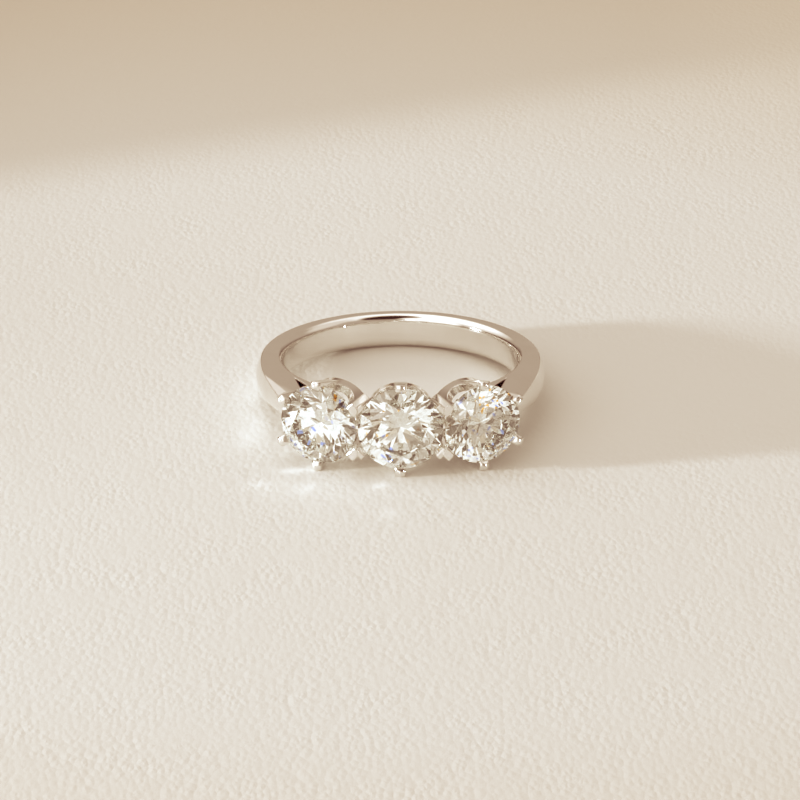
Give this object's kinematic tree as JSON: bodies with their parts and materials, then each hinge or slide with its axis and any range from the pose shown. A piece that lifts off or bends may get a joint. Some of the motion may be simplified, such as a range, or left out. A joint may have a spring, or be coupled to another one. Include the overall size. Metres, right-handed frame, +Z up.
{
  "type": "three stone ring",
  "caption": "Finger ring in polished white metal: a tapering band with claw-set round brilliant stones in a row, the middle one slightly larger.",
  "frame": {"origin": "middle of the bounding box's bottom face, on the surface that the ring lies on", "axes": "+Z up from that surface, -Y towards the stones, +Y towards the back of the band, +X to the right stone; the finger hole's axis leans from +Z towards +Y by about 5.6 degrees"},
  "size_m": [0.0206, 0.0224, 0.0067],
  "materials": {
    "white_metal": "polished white gold or platinum",
    "left_stone": "cut and polished colourless stone",
    "centre_stone": "cut and polished colourless stone",
    "right_stone": "cut and polished colourless stone"
  },
  "bodies": {
    "root": {"band_with_heads": "white_metal", "left_stone": "left_stone", "centre_stone": "centre_stone", "right_stone": "right_stone"}
  },
  "joints": []
}
